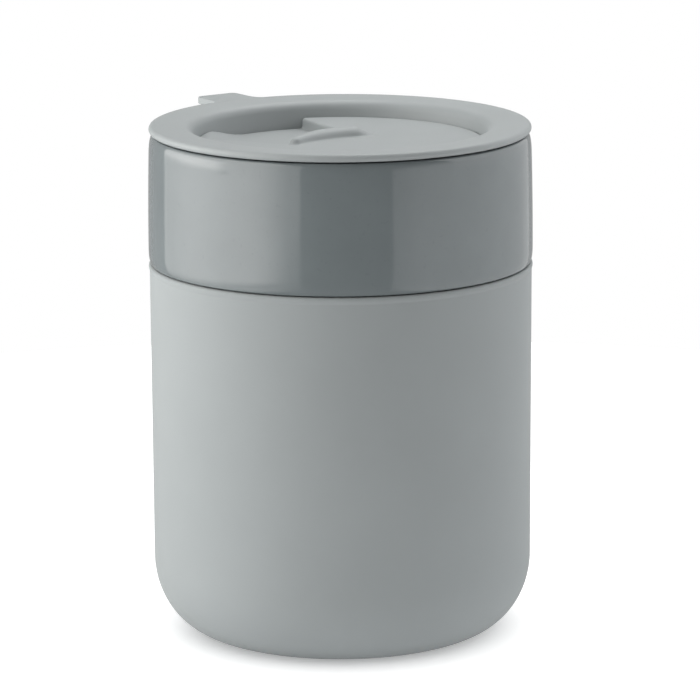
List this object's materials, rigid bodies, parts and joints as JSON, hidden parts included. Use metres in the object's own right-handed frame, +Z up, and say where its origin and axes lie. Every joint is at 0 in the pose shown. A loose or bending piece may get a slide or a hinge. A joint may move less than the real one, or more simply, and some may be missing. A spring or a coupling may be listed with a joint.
{
  "type": "travel mug",
  "caption": "Ceramic travel mug in a silicone sleeve, with a push-in lid whose turning shutter opens a sip slot.",
  "frame": {"origin": "centre of the flat base, on the surface that the mug stands on", "axes": "+Z up along the mug's axis, +Y away from the drinker's view in the picture, the lid's tab at the rear left"},
  "size_m": [0.0844, 0.0868, 0.1131],
  "materials": {
    "sleeve_silicone": "matte moulded silicone",
    "cup_glaze": "glossy glaze",
    "lid_plastic": "satin moulded plastic",
    "seal_silicone": "matte silicone"
  },
  "bodies": {
    "sleeve": {"silicone_sleeve": "sleeve_silicone"},
    "cup": {"ceramic_cup": "cup_glaze"},
    "lid": {"lid_body": "lid_plastic", "lid_seal": "seal_silicone", "sip_gasket": "seal_silicone", "pivot_o_ring": "seal_silicone"},
    "shutter": {"shutter_disc": "lid_plastic"}
  },
  "joints": [
    {"name": "cup_lift", "type": "slide", "parent": "sleeve", "child": "cup", "axis": [0, 0, 1], "range_m": [0, 0.095]},
    {"name": "lid_lift", "type": "slide", "parent": "cup", "child": "lid", "axis": [0, 0, 1], "range_m": [0, 0.045]},
    {"name": "shutter_turn", "type": "hinge", "parent": "lid", "child": "shutter", "pos_m": [0, 0, 0.1059], "axis": [0, 0, 1], "range_deg": [0, 55]}
  ]
}
